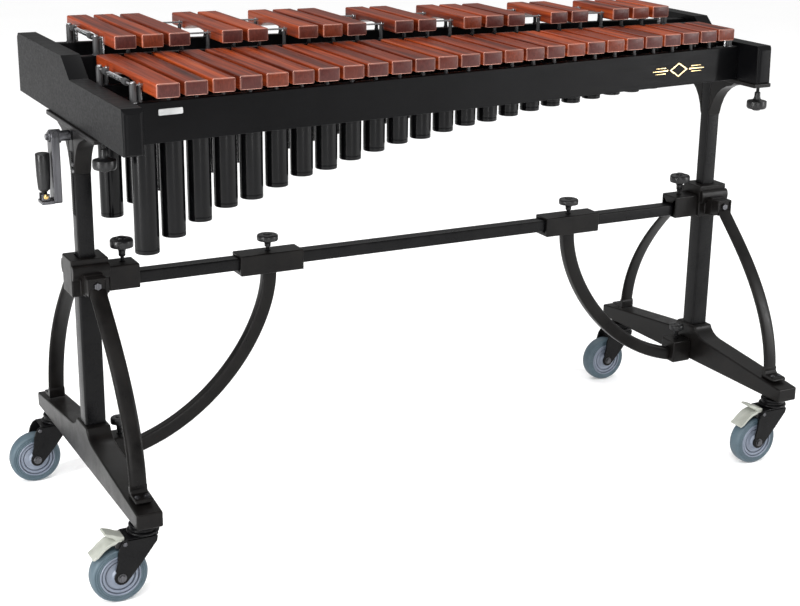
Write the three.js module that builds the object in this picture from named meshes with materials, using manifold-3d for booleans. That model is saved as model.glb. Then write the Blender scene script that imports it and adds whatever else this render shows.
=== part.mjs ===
// A 3.5-octave bar xylophone on a rolling, height-adjustable stand.
// Millimetres, +Z up, +X towards the high notes, -Y towards the player.
import * as THREE from 'three';
import { mergeVertices } from 'three/addons/utils/BufferGeometryUtils.js';
import Module from 'manifold-3d';

const wasm = await Module();
wasm.setup();

// ---------- driving dimensions ----------
const GAP = 0.4; // clearance left between pieces that touch
const SIDES = { left: -1, right: 1 };

// stand
const POST_X = 661.3; // post centres, either side of the middle
const OUTER_POST = { x: 37, y: 35, wall: 2.5, top: 453 };
const INNER_POST = { x: 29, y: 26, wall: 2.5, bottom: 300, top: 742 };
const FOOT = { half: 308, width: 44.6, bottom: 136, end: 163.5, shoulder: 188, shoulderY: 78, hump: 212, humpY: 30 };
const COLLAR = { x: 66, y: 56, bottom: OUTER_POST.top + GAP, top: 518 };
const LUG = { reach: 50, width: 34, bottom: 458, top: 496 };
const CROSSBAR = { y: 28, wall: 2, bottom: 459, top: 481.5 };
const SOCKET = { inner: 572, y: 48, bottom: 455, top: 499 };
const SLEEVE = { x: 323, half: 61.5, y: 44, bottom: 449, top: 487 };
const BRACE = { section: 26, thick: 20, footX: 594 };
const ARCH = { width: 30, thick: 7 };
const FOOT_BRACKET = { inner: 594.4, y: 44, bottom: 134, top: 180 };

// casters
const CASTER_Y = 266;
const TRAIL = 45;
const WHEEL = { r: 48.6, rim: 35, bore: 5.6, half: 15, sides: 20 };
const FORK = { stemR: 9, crownR: 25, crownBottom: 106, crownTop: 119, legIn: 18, legThick: 4.5 };

// keyboard frame
const BLOCK = { inner: 644, outer: 677, bottom: 749.6, frontTop: 822.4, rearTop: 856.7 };
const LEFT_BLOCK = { front: -300, stepLow: -14.5, stepHigh: 31, back: 324.5 };
const RIGHT_BLOCK = { front: -158, stepLow: 14, stepHigh: 52, back: 190 };
const PLATE = { thick: 8, width: 40, front: -156, back: 130 };

// bars
const BARS = { pitch: 47.7, width: 37.9, thick: 22.3, firstX: -598.1 };
const NATURALS = { count: 26, front0: -281.9, frontStep: 6.6, rear0: 30.7, rearStep: -1.43, top: 854 };
const SHARPS = { front0: -0.6, frontStep: 0.132, rear0: 288.6, rearStep: -6.7, top: 887.5 };
const SHARP_GROUPS = [3, 2, 3, 2, 3, 2, 3]; // raised bars between each skipped place
const NODE_RATIO = 0.224; // nodal point of a free bar, as a share of its length
const CORD_R = 1.6;
const PEG_R = 3; // cord posts
const FIRST_PITCH = 349.2; // F4, Hz

// resonators
const TUBE = { r0: 20.5, r1: 17, wall: 1.5, top: 822, sides: 10 };
const TUBE_STOP = { naturals: 766, sharps: 750, reach: 212 };

// crank
const CRANK = { z: 728, arm: 112, armX: 708, armThick: 8, armWidth: 28, handleR: 12, handleLength: 70, foldRoom: 1.8 };

// ---------- materials ----------
function paint(color, roughness, metalness) {
  return new THREE.MeshStandardMaterial({ color, roughness, metalness });
}
const blackPowder = paint(0x17171a, 0.55, 0.4);
const blackLacquer = paint(0x111113, 0.4, 0.1);
const blackPlastic = paint(0x19191b, 0.5, 0);
const rosewood = paint(0x93432a, 0.45, 0);
const greyRubber = paint(0x4d6575, 0.7, 0);
const greyPlastic = paint(0x8c98a8, 0.5, 0);
const pedalPlastic = paint(0xc1c4bc, 0.5, 0.1);
const resonatorBlack = paint(0x131316, 0.35, 0.5);

// ---------- solids ----------
function toSolid(geometry) {
  const plain = geometry.clone();
  plain.deleteAttribute('normal');
  plain.deleteAttribute('uv');
  const welded = mergeVertices(plain, 1e-4);
  const vertProperties = new Float32Array(welded.attributes.position.array);
  const triVerts = new Uint32Array(welded.index.array);
  return new wasm.Manifold(new wasm.Mesh({ numProp: 3, vertProperties, triVerts }));
}

function toGeometry(solid) {
  const mesh = solid.getMesh();
  const geometry = new THREE.BufferGeometry();
  geometry.setAttribute('position', new THREE.BufferAttribute(mesh.vertProperties.slice(), 3));
  geometry.setIndex(new THREE.BufferAttribute(mesh.triVerts.slice(), 1));
  geometry.computeVertexNormals();
  return geometry;
}

function join(...geometries) {
  return toGeometry(geometries.map(toSolid).reduce((whole, piece) => whole.add(piece)));
}

function cut(geometry, ...tools) {
  return toGeometry(tools.map(toSolid).reduce((whole, tool) => whole.subtract(tool), toSolid(geometry)));
}

// a box given by its low and high corner on each axis
function block([x0, x1], [y0, y1], [z0, z1]) {
  const box = new THREE.BoxGeometry(Math.abs(x1 - x0), Math.abs(y1 - y0), Math.abs(z1 - z0));
  return box.translate((x0 + x1) / 2, (y0 + y1) / 2, (z0 + z1) / 2);
}

// a box with a square way right through it along X or Z
function boxTube(along, [x0, x1], [y0, y1], [z0, z1], inner) {
  const long = 5;
  const way = along === 'x'
    ? block([x0 - long, x1 + long], inner.y, inner.z)
    : block(inner.x, inner.y, [z0 - long, z1 + long]);
  return cut(block([x0, x1], [y0, y1], [z0, z1]), way);
}

function cylinder(r, z0, z1, sides = 12) {
  return new THREE.CylinderGeometry(r, r, z1 - z0, sides).rotateX(Math.PI / 2).translate(0, 0, (z0 + z1) / 2);
}

// profile points are [radius, height]; the axis is Z
function turned(profile, sides = 20) {
  const points = profile.map(([r, z]) => new THREE.Vector2(r, z));
  return new THREE.LatheGeometry(points, sides).rotateX(Math.PI / 2);
}

// an outline in (Y, Z) drawn out along X, centred
function slab(outline, width) {
  const shape = new THREE.Shape(outline.map(([y, z]) => new THREE.Vector2(y, z)));
  const body = new THREE.ExtrudeGeometry(shape, { depth: width, bevelEnabled: false });
  const toYZ = new THREE.Matrix4().makeBasis(
    new THREE.Vector3(0, 1, 0), new THREE.Vector3(0, 0, 1), new THREE.Vector3(1, 0, 0));
  return body.applyMatrix4(toYZ).translate(-width / 2, 0, 0);
}

function mirrorOutline(half) {
  return half.concat(half.slice().reverse().map(([y, z]) => [-y, z]));
}

// a strip of even thickness along a curve in a plane; returns its closed outline
function stripOutline(curve, thickness, steps) {
  const inside = [];
  const outside = [];
  for (let i = 0; i <= steps; i += 1) {
    const at = curve.getPoint(i / steps);
    const along = curve.getTangent(i / steps);
    inside.push([at.x - along.y * thickness / 2, at.y + along.x * thickness / 2]);
    outside.push([at.x + along.y * thickness / 2, at.y - along.x * thickness / 2]);
  }
  return outside.concat(inside.reverse());
}

const xylophone = new THREE.Group();

function add(name, geometry, material, x = 0, y = 0, z = 0) {
  const mesh = new THREE.Mesh(geometry, material);
  mesh.name = name;
  mesh.position.set(x, y, z);
  xylophone.add(mesh);
  return mesh;
}

// ---------- stand: feet, posts, collars ----------
function footGeometry() {
  const half = [[FOOT.half, FOOT.bottom], [FOOT.half, FOOT.end], [FOOT.shoulderY, FOOT.shoulder]];
  const sweep = new THREE.QuadraticBezierCurve(
    new THREE.Vector2(FOOT.shoulderY, FOOT.shoulder),
    new THREE.Vector2(FOOT.humpY + 8, FOOT.shoulder + 2),
    new THREE.Vector2(FOOT.humpY, FOOT.hump));
  sweep.getPoints(5).slice(1).forEach((p) => half.push([p.x, p.y]));
  return slab(mirrorOutline(half), FOOT.width);
}

function collarGeometry() {
  const { x, y, bottom, top } = COLLAR;
  const body = block([-x / 2, x / 2], [-y / 2, y / 2], [bottom, top]);
  const lugs = block([-LUG.width / 2, LUG.width / 2], [-LUG.reach, LUG.reach], [LUG.bottom, LUG.top]);
  const slack = 0.6;
  const way = block(
    [-INNER_POST.x / 2 - slack, INNER_POST.x / 2 + slack],
    [-INNER_POST.y / 2 - slack, INNER_POST.y / 2 + slack],
    [bottom - 5, top + 5]);
  return cut(join(body, lugs), way);
}

function postGeometry(post, z0, z1) {
  const inner = {
    x: [-post.x / 2 + post.wall, post.x / 2 - post.wall],
    y: [-post.y / 2 + post.wall, post.y / 2 - post.wall],
  };
  return boxTube('z', [-post.x / 2, post.x / 2], [-post.y / 2, post.y / 2], [z0, z1], inner);
}

// ---------- stand: braces ----------
function archGeometry(front) {
  const curve = new THREE.CubicBezierCurve(
    new THREE.Vector2(LUG.reach + GAP + ARCH.thick / 2, 488),
    new THREE.Vector2(LUG.reach + ARCH.thick / 2 + 22, 452),
    new THREE.Vector2(238, 345),
    new THREE.Vector2(249, 186));
  const strip = stripOutline(curve, ARCH.thick, 14).map(([y, z]) => [front * y, z]);
  const outline = front > 0 ? strip : strip.reverse();
  const tab = block(
    [-ARCH.width / 2, ARCH.width / 2],
    [front * 243, front * 282],
    [tabBottom(), tabBottom() + 20]);
  const rake = block([-30, 30], [front * 256, front * 290], [tabBottom() + 6, tabBottom() + 30]);
  return cut(join(slab(outline, ARCH.width), tab), rake);
}

// the foot's top slopes, so a bolted tab clears it by lying on its highest point underneath
function tabBottom() {
  const slope = (FOOT.shoulder - FOOT.end) / (FOOT.half - FOOT.shoulderY);
  return FOOT.end + slope * (FOOT.half - 242) + GAP;
}

function curvedBraceGeometry(side) {
  const curve = new THREE.CubicBezierCurve(
    new THREE.Vector2(SLEEVE.x, SLEEVE.bottom - GAP),
    new THREE.Vector2(SLEEVE.x, 350),
    new THREE.Vector2(425, 190),
    new THREE.Vector2(BRACE.footX, 150));
  const outline = stripOutline(curve, BRACE.section, 18).map(([x, z]) => [side * x, z]);
  const trimmed = slab(side > 0 ? outline : outline.reverse(), BRACE.thick).rotateZ(-Math.PI / 2);
  const beyond = block([side * BRACE.footX, side * 660], [-40, 40], [60, 260]);
  return cut(trimmed, beyond);
}

// ---------- clamping knobs ----------
function knobGeometry(r, height) {
  return turned([
    [0, 0], [3.5, 0], [3.5, height * 0.3], [r * 0.5, height * 0.58],
    [r, height * 0.6], [r, height * 0.9], [r * 0.55, height], [0, height],
  ], 12);
}

function hangingKnobGeometry(r, height) {
  return knobGeometry(r, height).rotateX(Math.PI);
}

// ---------- casters ----------
function forkGeometry() {
  const stem = cylinder(FORK.stemR, FORK.crownTop - 2, FOOT.bottom - GAP);
  const crown = cylinder(FORK.crownR, FORK.crownBottom, FORK.crownTop);
  const hubZ = WHEEL.r;
  const leg = new THREE.Shape([
    new THREE.Vector2(-20, FORK.crownBottom + 4), new THREE.Vector2(16, FORK.crownBottom + 4),
    new THREE.Vector2(8, 84), new THREE.Vector2(-TRAIL + 11, hubZ - 5),
    new THREE.Vector2(-TRAIL + 4, hubZ - 11), new THREE.Vector2(-TRAIL - 4, hubZ - 11),
    new THREE.Vector2(-TRAIL - 11, hubZ - 4), new THREE.Vector2(-TRAIL - 6, hubZ + 10),
  ]);
  const legs = [-FORK.legIn - FORK.legThick, FORK.legIn].map((y) => {
    const plate = new THREE.ExtrudeGeometry(leg, { depth: FORK.legThick, bevelEnabled: false });
    return plate.rotateX(Math.PI / 2).translate(0, y + FORK.legThick, 0);
  });
  const axle = new THREE.CylinderGeometry(5, 5, 2 * (FORK.legIn + FORK.legThick) + 5, 12);
  return join(stem, crown, ...legs, axle.translate(-TRAIL, 0, hubZ));
}

function tyreGeometry() {
  const { r, rim, half } = WHEEL;
  return turned([
    [rim + GAP, -half + 1], [r - 4, -half + 1], [r, -half + 6], [r, half - 6], [r - 4, half - 1],
    [rim + GAP, half - 1], [rim + GAP, -half + 1],
  ], WHEEL.sides).rotateX(Math.PI / 2);
}

function hubGeometry() {
  const { rim, bore, half } = WHEEL;
  return turned([
    [bore, -half - 2], [13, -half - 2], [15, -half + 4], [rim - 5, -half + 4], [rim - 3, -half],
    [rim, -half], [rim, half], [rim - 3, half], [rim - 5, half - 4], [15, half - 4],
    [13, half + 2], [bore, half + 2], [bore, -half - 2],
  ], WHEEL.sides).rotateX(Math.PI / 2);
}

// a foot lever hinged on the fork's trailing side, with a lip to press
function pedalGeometry() {
  const outline = [
    [-29, 109], [-29, 117], [-50, 113], [-68, 101], [-80, 101], [-80, 96], [-66, 96], [-50, 107.5],
  ];
  const shape = new THREE.Shape(outline.map(([x, z]) => new THREE.Vector2(x, z)));
  const lever = new THREE.ExtrudeGeometry(shape, { depth: 30, bevelEnabled: false });
  return lever.rotateX(Math.PI / 2).translate(0, 15, 0);
}

// ---------- keyboard frame ----------
function endBlockGeometry(spec) {
  const r = 8; // rounded front corner
  const outline = [
    [spec.front + 3, BLOCK.bottom], [spec.back, BLOCK.bottom],
    [spec.back, BLOCK.rearTop - r], [spec.back - r, BLOCK.rearTop],
    [spec.stepHigh, BLOCK.rearTop], [spec.stepLow, BLOCK.frontTop],
    [spec.front + r, BLOCK.frontTop], [spec.front, BLOCK.frontTop - r], [spec.front, BLOCK.bottom + 3],
  ];
  return slab(outline, BLOCK.outer - BLOCK.inner);
}

// straight board between the end blocks; ends are the Y of its middle at each end block
function railGeometry(y0, y1, thick, z0, z1, posts) {
  const length = 2 * (BLOCK.inner - GAP);
  const tilt = Math.atan2(y1 - y0, length);
  const long = new THREE.BoxGeometry(length * 1.05, thick, z1 - z0);
  long.rotateZ(tilt).translate(0, (y0 + y1) / 2, (z0 + z1) / 2);
  const ends = [-1, 1].map((s) => block([s * length / 2, s * length], [-400, 400], [z0 - 5, z1 + 5]));
  const board = toSolid(cut(long, ...ends));
  const pegs = posts.places.map((x) => {
    const y = y0 + (y1 - y0) * (x + length / 2) / length;
    return cylinder(PEG_R, z1 - 2, posts.top, 4).translate(x, y, 0);
  });
  return toGeometry(pegs.map(toSolid).reduce((whole, peg) => whole.add(peg), board));
}

// thin channel under an end block, carried by the post on two curved gussets
function topPlateGeometry() {
  const { thick, width, front, back } = PLATE;
  const plate = block([-width / 2, width / 2], [front, back], [BLOCK.bottom - GAP - thick, BLOCK.bottom - GAP]);
  const foot = BLOCK.bottom - GAP - thick + 1;
  const reach = INNER_POST.y / 2 + GAP;
  const half = [[reach, foot], [88, foot]];
  const curve = new THREE.QuadraticBezierCurve(
    new THREE.Vector2(78, foot - 8), new THREE.Vector2(reach + 10, foot - 18), new THREE.Vector2(reach, 662));
  curve.getPoints(6).forEach((p) => half.push([p.x, p.y]));
  const gussets = [1, -1].map((s) => {
    const side = half.map(([y, z]) => [s * y, z]);
    return slab(s > 0 ? side.reverse() : side, INNER_POST.x);
  });
  return join(plate, ...gussets);
}

// ---------- bars ----------
function sharpPlaces() {
  const places = [];
  let place = 0;
  SHARP_GROUPS.forEach((count) => {
    for (let i = 0; i < count; i += 1) places.push(place + i);
    place += count + 1;
  });
  return places;
}

const naturals = Array.from({ length: NATURALS.count }, (_, i) => ({
  x: BARS.firstX + BARS.pitch * i,
  front: NATURALS.front0 + NATURALS.frontStep * i,
  rear: NATURALS.rear0 + NATURALS.rearStep * i,
}));
const sharps = sharpPlaces().map((k) => ({
  x: BARS.firstX + BARS.pitch * (k + 0.5),
  front: SHARPS.front0 + SHARPS.frontStep * k,
  rear: SHARPS.rear0 + SHARPS.rearStep * k,
}));

// the Y of a row's front or rear nodal line at its first and last bar
function nodalLine(row, share) {
  const at = (bar) => bar.front + (bar.rear - bar.front) * share;
  const first = row[0];
  const last = row[row.length - 1];
  const slope = (at(last) - at(first)) / (last.x - first.x);
  return (x) => at(first) + slope * (x - first.x);
}

function barRowGeometry(row, top) {
  const bars = row.map((bar) => block(
    [bar.x - BARS.width / 2, bar.x + BARS.width / 2], [bar.front, bar.rear], [top - BARS.thick, top]));
  const reach = 10;
  const x0 = row[0].x - BARS.width / 2 - reach;
  const x1 = row[row.length - 1].x + BARS.width / 2 + reach;
  const cords = [NODE_RATIO, 1 - NODE_RATIO].map((share) => {
    const line = nodalLine(row, share);
    const length = Math.hypot(x1 - x0, line(x1) - line(x0));
    const cord = new THREE.CylinderGeometry(CORD_R, CORD_R, length, 4).rotateZ(Math.PI / 2);
    cord.rotateZ(Math.atan2(line(x1) - line(x0), x1 - x0));
    return cord.translate((x0 + x1) / 2, (line(x0) + line(x1)) / 2, top - BARS.thick / 2);
  });
  return join(...bars, ...cords);
}

// one post in each gap between bars, and one past each end of the row
function postPlaces(row) {
  const places = [row[0].x - BARS.pitch / 2, row[row.length - 1].x + BARS.pitch / 2];
  row.slice(1).forEach((bar) => places.push(bar.x - BARS.pitch / 2));
  return places;
}

function railUnder(row, share, thick, z0, z1, top) {
  const line = nodalLine(row, share);
  const cordZ = top - BARS.thick / 2;
  const posts = { places: postPlaces(row), top: cordZ - CORD_R - GAP };
  return railGeometry(line(-BLOCK.inner), line(BLOCK.inner), thick, z0, z1, posts);
}

// ---------- resonators ----------
const SEMITONES = [0, 2, 4, 6, 7, 9, 11]; // F, G, A, B, C, D, E above F
function pitchOfNatural(i) {
  return FIRST_PITCH * 2 ** (Math.floor(i / 7) + SEMITONES[i % 7] / 12);
}

function resonatorBankGeometry(row, pitches, y0, y1, stop, strap) {
  const span = row[row.length - 1].x - row[0].x;
  const solids = row.map((bar, i) => {
    const share = (bar.x - row[0].x) / span;
    const r = TUBE.r0 + (TUBE.r1 - TUBE.r0) * share;
    const bottom = stop - TUBE_STOP.reach * FIRST_PITCH / pitches[i];
    const profile = [
      [0, bottom], [r, bottom], [r, TUBE.top], [r - TUBE.wall, TUBE.top],
      [r - TUBE.wall, bottom + 3], [0, bottom + 3],
    ];
    return toSolid(turned(profile, TUBE.sides).translate(bar.x, y0 + (y1 - y0) * share, 0));
  });
  const wayIn = (bar) => {
    const share = (bar.x - row[0].x) / span;
    const r = TUBE.r0 + (TUBE.r1 - TUBE.r0) * share - TUBE.wall;
    const bore = cylinder(r, TUBE.top - 30, TUBE.top + 5, TUBE.sides);
    return toSolid(bore.translate(bar.x, y0 + (y1 - y0) * share, 0));
  };
  const tilt = Math.atan2(y1 - y0, span);
  const rail = new THREE.BoxGeometry(span + 2 * strap.reach, strap.width, 10);
  rail.rotateZ(tilt).translate((row[0].x + row[row.length - 1].x) / 2, (y0 + y1) / 2, TUBE.top - 15);
  let bank = toSolid(rail);
  row.forEach((bar) => { bank = bank.subtract(wayIn(bar)); });
  return toGeometry(solids.reduce((whole, tube) => whole.add(tube), bank));
}

// ---------- crank ----------
function crankArmGeometry() {
  const { z, arm, armX, armThick, armWidth } = CRANK;
  const outside = BLOCK.outer + GAP;
  const shaft = new THREE.CylinderGeometry(9, 9, armX - armThick / 2 - outside + 1, 16).rotateZ(Math.PI / 2);
  shaft.translate(-(outside + armX - armThick / 2 + 1) / 2, 0, z);
  const bar = block(
    [-armX - armThick / 2, -armX + armThick / 2], [-armWidth / 2, armWidth / 2], [z - arm, z + 12]);
  const clevis = block([-armX - armThick / 2 - 16, -armX], [-armWidth / 2, armWidth / 2], [z - arm, z - arm + 6]);
  return join(shaft, bar, clevis);
}

function crankHandleGeometry() {
  const { z, arm, armX, armThick, handleR, handleLength } = CRANK;
  const base = z - arm + 6 + CRANK.foldRoom;
  const grip = turned([
    [0, base], [4, base], [4, base + 15], [handleR - 2, base + 15], [handleR, base + 20],
    [handleR, base + handleLength - 6], [handleR - 4, base + handleLength + 8], [0, base + handleLength + 8],
  ], 12);
  return grip.translate(-armX - armThick / 2 - handleR - 1, 0, 0);
}

// ---------- assembly: both ends of the stand ----------
Object.entries(SIDES).forEach(([name, side]) => {
  const x = side * POST_X;
  add(`${name}_foot`, footGeometry(), blackPowder, x);
  add(`${name}_outer_post`, postGeometry(OUTER_POST, FOOT.hump + GAP, OUTER_POST.top), blackPowder, x);
  add(`${name}_collar`, collarGeometry(), blackPowder, x);
  add(`${name}_front_arch`, archGeometry(-1), blackPowder, x);
  add(`${name}_rear_arch`, archGeometry(1), blackPowder, x);

  const wayX = {
    y: [-CROSSBAR.y / 2 - GAP, CROSSBAR.y / 2 + GAP],
    z: [CROSSBAR.bottom - GAP, CROSSBAR.top + GAP],
  };
  const socketOuter = POST_X - COLLAR.x / 2 - GAP;
  add(`${name}_crossbar_socket`, boxTube('x',
    [side * SOCKET.inner, side * socketOuter].sort((a, b) => a - b),
    [-SOCKET.y / 2, SOCKET.y / 2], [SOCKET.bottom, SOCKET.top], wayX), blackPowder);
  add(`${name}_brace_sleeve`, boxTube('x',
    [side * SLEEVE.x - SLEEVE.half, side * SLEEVE.x + SLEEVE.half],
    [-SLEEVE.y / 2, SLEEVE.y / 2], [SLEEVE.bottom, SLEEVE.top], wayX), blackPowder);
  add(`${name}_curved_brace`, curvedBraceGeometry(side), blackPowder);
  const bracketOuter = POST_X - FOOT.width / 2 - GAP;
  add(`${name}_foot_bracket`, block(
    [side * FOOT_BRACKET.inner, side * bracketOuter], [-FOOT_BRACKET.y / 2, FOOT_BRACKET.y / 2],
    [FOOT_BRACKET.bottom, FOOT_BRACKET.top]), blackPowder);

  add(`${name}_socket_knob`, knobGeometry(20.5, 44), blackPlastic, side * 596, 0, SOCKET.top + GAP);
  add(`${name}_sleeve_knob`, knobGeometry(19.5, 32), blackPlastic, side * 324, 0, SLEEVE.top + GAP);
  add(`${name}_foot_knob`, knobGeometry(15, 34), blackPlastic, side * 615, 0, FOOT_BRACKET.top + GAP);
});

const crossbarEnd = POST_X - COLLAR.x / 2 - 4;
add('crossbar', boxTube('x', [-crossbarEnd, crossbarEnd],
  [-CROSSBAR.y / 2, CROSSBAR.y / 2], [CROSSBAR.bottom, CROSSBAR.top], {
    y: [-CROSSBAR.y / 2 + CROSSBAR.wall, CROSSBAR.y / 2 - CROSSBAR.wall],
    z: [CROSSBAR.bottom + CROSSBAR.wall, CROSSBAR.top - CROSSBAR.wall],
  }), blackPowder);

// ---------- assembly: casters ----------
Object.entries(SIDES).forEach(([name, side]) => {
  Object.entries({ front: -1, rear: 1 }).forEach(([place, way]) => {
    const x = side * POST_X;
    const y = way * CASTER_Y;
    add(`${name}_${place}_fork`, forkGeometry(), blackPowder, x, y);
    add(`${name}_${place}_tyre`, tyreGeometry(), greyRubber, x - TRAIL, y, WHEEL.r);
    add(`${name}_${place}_hub`, hubGeometry(), greyPlastic, x - TRAIL, y, WHEEL.r);
    if (place === 'front') add(`${name}_brake_pedal`, pedalGeometry(), pedalPlastic, x, y);
  });
});

// ---------- assembly: keyboard frame ----------
const blockMiddle = (BLOCK.inner + BLOCK.outer) / 2;
add('left_end_block', endBlockGeometry(LEFT_BLOCK), blackLacquer, -blockMiddle);
add('right_end_block', endBlockGeometry(RIGHT_BLOCK), blackLacquer, blockMiddle);
Object.entries(SIDES).forEach(([name, side]) => {
  const plateBottom = BLOCK.bottom - GAP - PLATE.thick;
  add(`${name}_inner_post`, postGeometry(INNER_POST, INNER_POST.bottom, plateBottom - GAP), blackPowder,
    side * POST_X);
  add(`${name}_top_plate`, topPlateGeometry(), blackPowder, side * POST_X);
  add(`${name}_block_knob`, hangingKnobGeometry(19.5, 46), blackPlastic, side * POST_X, -142, plateBottom - GAP);
});
const frontRail = { thick: 18, bottom: BLOCK.bottom, top: 815.7 };
add('front_rail', railUnder(naturals, NODE_RATIO, frontRail.thick, frontRail.bottom, frontRail.top, NATURALS.top),
  blackLacquer);
add('inner_natural_rail', railUnder(naturals, 1 - NODE_RATIO, 14, 775, 815, NATURALS.top), blackLacquer);
add('inner_raised_rail', railUnder(sharps, NODE_RATIO, 14, 790, 848, SHARPS.top), blackLacquer);
add('rear_rail', railUnder(sharps, 1 - NODE_RATIO, 18, BLOCK.bottom, 848, SHARPS.top), blackLacquer);

// ---------- assembly: bars and resonators ----------
add('natural_bars', barRowGeometry(naturals, NATURALS.top), rosewood);
add('raised_bars', barRowGeometry(sharps, SHARPS.top), rosewood);
const naturalPitches = naturals.map((_, i) => pitchOfNatural(i));
const sharpPitches = sharpPlaces().map((k) => pitchOfNatural(k) * 2 ** (1 / 12));
const strap = { width: 8, reach: 30 };
add('natural_resonators',
  resonatorBankGeometry(naturals, naturalPitches, -150, -60, TUBE_STOP.naturals, strap), resonatorBlack);
add('raised_resonators',
  resonatorBankGeometry(sharps, sharpPitches, 120, 68, TUBE_STOP.sharps, strap), resonatorBlack);

// ---------- assembly: height crank ----------
add('crank_arm', crankArmGeometry(), blackPowder);
add('crank_handle', crankHandleGeometry(), blackPlastic);

// the origin is on the floor, under the middle of the whole object
const extent = new THREE.Box3().setFromObject(xylophone);
const middle = extent.getCenter(new THREE.Vector3());
xylophone.position.set(-middle.x, -middle.y, -extent.min.z);
xylophone.updateMatrixWorld(true);

export default xylophone;
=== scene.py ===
import math
import random

import bmesh
import bpy
from mathutils import Matrix, Vector


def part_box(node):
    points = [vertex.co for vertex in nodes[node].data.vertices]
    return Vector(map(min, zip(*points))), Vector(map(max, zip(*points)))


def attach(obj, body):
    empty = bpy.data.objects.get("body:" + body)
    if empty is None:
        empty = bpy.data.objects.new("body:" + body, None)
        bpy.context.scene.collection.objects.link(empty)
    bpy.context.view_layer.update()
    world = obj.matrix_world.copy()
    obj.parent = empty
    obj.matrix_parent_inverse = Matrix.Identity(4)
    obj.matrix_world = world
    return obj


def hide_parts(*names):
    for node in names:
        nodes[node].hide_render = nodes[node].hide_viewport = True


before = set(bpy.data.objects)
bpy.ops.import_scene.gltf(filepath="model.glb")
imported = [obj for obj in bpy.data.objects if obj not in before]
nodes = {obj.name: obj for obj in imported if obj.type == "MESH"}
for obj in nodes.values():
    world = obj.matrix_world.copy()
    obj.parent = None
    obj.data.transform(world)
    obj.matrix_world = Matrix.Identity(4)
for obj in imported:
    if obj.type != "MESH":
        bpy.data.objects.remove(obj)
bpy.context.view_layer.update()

random.seed(7)
scene = bpy.context.scene


# ---------- camera ----------
# The photograph's view, as a least-squares fit of a camera without shift to the object's corners gave it.
CAMERA_AT = (-1.3269, -2.52195, 1.2597)
CAMERA_LENS = 69.74


def make_camera():
    yaw, pitch, roll = 0.479, 0.311, 0.014
    forward = Vector((math.sin(yaw) * math.cos(pitch), math.cos(yaw) * math.cos(pitch), -math.sin(pitch)))
    right = Vector((math.cos(yaw), -math.sin(yaw), 0))
    up = right.cross(forward)
    rolled_right = right * math.cos(roll) + up * math.sin(roll)
    rolled_up = up * math.cos(roll) - right * math.sin(roll)
    data = bpy.data.cameras.new("camera")
    data.sensor_width = 36
    data.lens = CAMERA_LENS
    camera = bpy.data.objects.new("camera", data)
    facing = Matrix((rolled_right, rolled_up, -forward)).transposed().to_4x4()
    camera.matrix_world = Matrix.Translation(CAMERA_AT) @ facing
    scene.collection.objects.link(camera)
    scene.camera = camera


make_camera()

# ---------- the CAD model's own measures ----------
# Millimetres from the middle of the stand, as the crossbar gives it; TO_ROW takes them to the row frame.
low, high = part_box("crossbar")
MIDDLE = (low + high) / 2
TO_ROW = Matrix.Translation((MIDDLE.x, MIDDLE.y, 0)) @ Matrix.Scale(0.001, 4)
TO_MM = TO_ROW.inverted()
SIDES = {"left": -1, "right": 1}
ENDS = (("front", -1), ("rear", 1))


def box_mm(node):
    a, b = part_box(node)
    return TO_MM @ a, TO_MM @ b


POST_X = (box_mm("right_outer_post")[0].x + box_mm("right_outer_post")[1].x) / 2
BLOCK_OUTER = box_mm("right_end_block")[1].x
BAR_WIDTH, BAR_THICK = 37.9, 22.3
PITCH = 47.7  # from one natural bar's middle to the next
NODE_RATIO = 0.224  # how far along a bar its still points lie
CORD_R = 1.6
WHEEL_R = 48.6
INNER_POST_HALF = 14.5
TRAIL = 45.0  # from a caster's stem back to its axle
OUTER_RAIL_HALF = 9.0  # half the thickness of the front and rear boards
RAIL_TOP = {"front_rail": 815.7, "inner_natural_rail": 815.0, "inner_raised_rail": 848.0, "rear_rail": 848.0}


def read_bars(node):
    """Each bar's middle X, its front and rear ends and its top, from the CAD bars' top corners."""
    top = box_mm(node)[1].z
    corners = sorted((TO_MM @ v.co for v in nodes[node].data.vertices if (TO_MM @ v.co).z > top - 0.5),
                     key=lambda p: p.x)
    xs = []
    for p in corners:
        if not xs or p.x - xs[-1][-1].x > 3:
            xs.append([])
        xs[-1].append(p)
    bars = []
    for a, b in zip(xs[0::2], xs[1::2]):
        both = a + b
        bars.append({
            "x": (a[0].x + b[0].x) / 2, "top": top,
            "front": min(p.y for p in both), "rear": max(p.y for p in both),
        })
    return bars


def read_tubes(node, bars):
    """Each tube's middle, radius, top and bottom, read from the CAD corners nearest each bar's middle."""
    low, high = box_mm(node)
    corners = [TO_MM @ v.co for v in nodes[node].data.vertices]
    found = []
    for spec in bars:
        near = [p for p in corners if abs(p.x - spec["x"]) < PITCH * 0.45]
        rim = [p for p in near if p.z > high.z - 0.5]
        y0, y1 = min(p.y for p in rim), max(p.y for p in rim)
        found.append({
            "x": spec["x"], "y": (y0 + y1) / 2, "r": (y1 - y0) / 2,
            "top": high.z, "bottom": min(p.z for p in near),
        })
    return found


def nodal_line(row, share):
    """The straight line through one row's still points, as Y at a given X."""
    first, last = row[0], row[-1]
    ya = first["front"] + (first["rear"] - first["front"]) * share
    yb = last["front"] + (last["rear"] - last["front"]) * share
    return lambda x: ya + (yb - ya) * (x - first["x"]) / (last["x"] - first["x"])


naturals = read_bars("natural_bars")
sharps = read_bars("raised_bars")
natural_tubes = read_tubes("natural_resonators", naturals)
raised_tubes = read_tubes("raised_resonators", sharps)


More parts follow.
